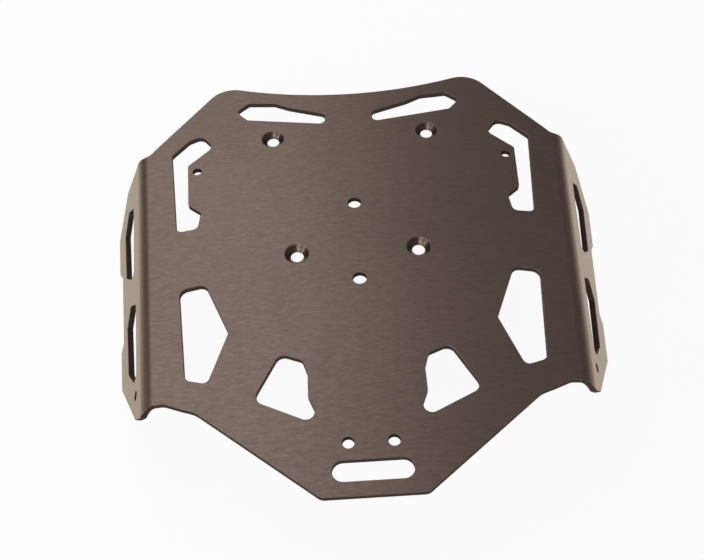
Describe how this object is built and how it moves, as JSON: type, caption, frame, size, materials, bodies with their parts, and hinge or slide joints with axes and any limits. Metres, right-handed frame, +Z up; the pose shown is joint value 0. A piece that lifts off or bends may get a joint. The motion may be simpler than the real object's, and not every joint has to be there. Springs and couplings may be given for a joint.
{
  "type": "motorcycle luggage rack",
  "caption": "Flat motorcycle luggage rack folded from one thick aluminium sheet, with a tapered flange down each side, strap cut-outs in deck and flanges, and countersunk and plain mounting holes.",
  "frame": {"origin": "On the centreline, midway between the two rear countersunk screw holes, on the underside of the deck.", "axes": "+X to the right of the motorcycle, +Y to its front, +Z up, square to the deck. The part is symmetric left to right. The deck's top face lies at z = 4 mm and the flanges reach down to about z = -60 mm."},
  "size_m": [0.357, 0.334, 0.0645],
  "materials": {
    "anodised_aluminium": "fine brushed across the width, anodised dark bronze grey"
  },
  "bodies": {
    "root": {"rack_plate": "anodised_aluminium"}
  },
  "joints": []
}
